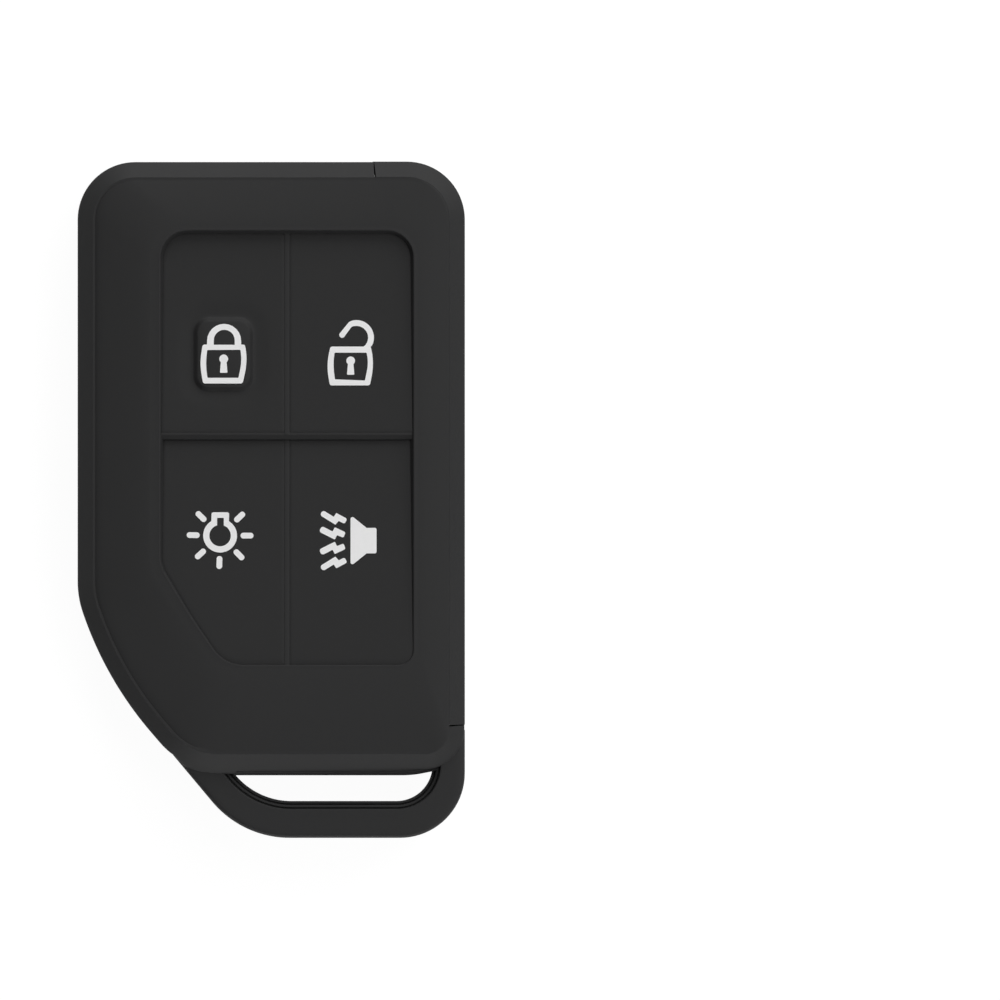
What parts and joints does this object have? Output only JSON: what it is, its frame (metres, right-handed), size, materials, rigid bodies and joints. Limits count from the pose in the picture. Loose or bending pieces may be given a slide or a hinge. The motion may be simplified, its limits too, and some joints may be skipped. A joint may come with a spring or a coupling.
{
  "type": "key fob cover",
  "caption": "Soft silicone cover for a remote key, with flexing key plates, an access flap at one corner and a slotted key ring loop.",
  "frame": {"origin": "middle of the cover's box, in the plane of the flat plateau on its back", "axes": "+Z out of the front, +Y along the cover away from its key ring loop, +X to the right when the keys are read"},
  "size_m": [0.043, 0.075, 0.016],
  "materials": {
    "sleeve": "matte moulded silicone, soft to the touch",
    "flap": "matte moulded silicone, as the sleeve",
    "keys": "matte moulded silicone with white printed signs"
  },
  "bodies": {
    "cover": {"sleeve": "sleeve"},
    "flap": {"access_flap": "flap"},
    "lock": {"lock_key": "keys"},
    "unlock": {"unlock_key": "keys"},
    "lamp": {"lamp_key": "keys"},
    "horn": {"horn_key": "keys"}
  },
  "joints": [
    {"name": "flap_hinge", "type": "hinge", "parent": "cover", "child": "flap", "pos_m": [0.0198, 0, 0.01568], "axis": [0, -1, 0], "range_deg": [0, 110], "stiffness_Nm_per_rad": 0.01},
    {"name": "lock_press", "type": "slide", "parent": "cover", "child": "lock", "axis": [0, 0, -1], "range_m": [0, 0.0006], "stiffness_N_per_m": 2000},
    {"name": "unlock_press", "type": "slide", "parent": "cover", "child": "unlock", "axis": [0, 0, -1], "range_m": [0, 0.0006], "stiffness_N_per_m": 2000},
    {"name": "lamp_press", "type": "slide", "parent": "cover", "child": "lamp", "axis": [0, 0, -1], "range_m": [0, 0.0006], "stiffness_N_per_m": 2000},
    {"name": "horn_press", "type": "slide", "parent": "cover", "child": "horn", "axis": [0, 0, -1], "range_m": [0, 0.0006], "stiffness_N_per_m": 2000}
  ]
}
